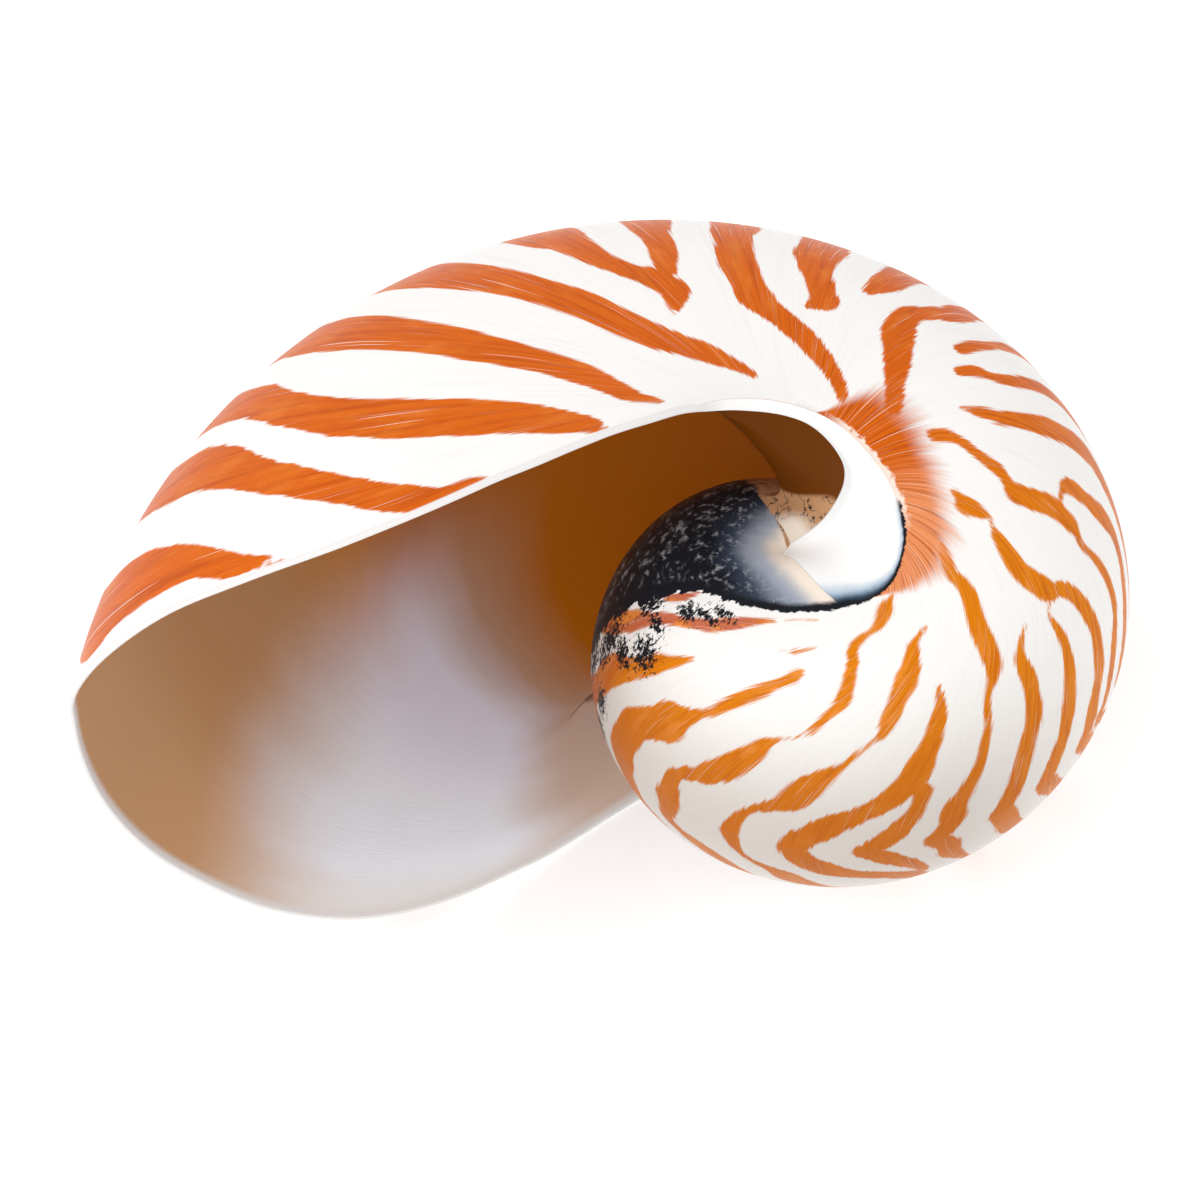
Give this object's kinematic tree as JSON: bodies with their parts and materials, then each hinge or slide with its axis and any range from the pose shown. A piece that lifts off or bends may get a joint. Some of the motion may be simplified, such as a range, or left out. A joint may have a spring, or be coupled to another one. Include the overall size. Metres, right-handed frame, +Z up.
{
  "type": "nautilus shell",
  "caption": "Coiled sea shell lying on its side, with a wide open body chamber, a thin lip, and brown-striped white flanks with white pads over the navels.",
  "frame": {"origin": "centre of the bounding box, at the level of the surface that the shell lies on", "axes": "+Z up, with the shell at rest on its far flank; the mouth opens towards -X, and the flank seen in the picture faces -Y and up"},
  "size_m": [0.1672, 0.1226, 0.1028],
  "materials": {
    "shell": "satin like porcelain: white with orange-brown stripes, blackish film on the earlier whorl, brown to pearly lilac chamber"
  },
  "bodies": {
    "root": {"nautilus_shell": "shell"}
  },
  "joints": []
}
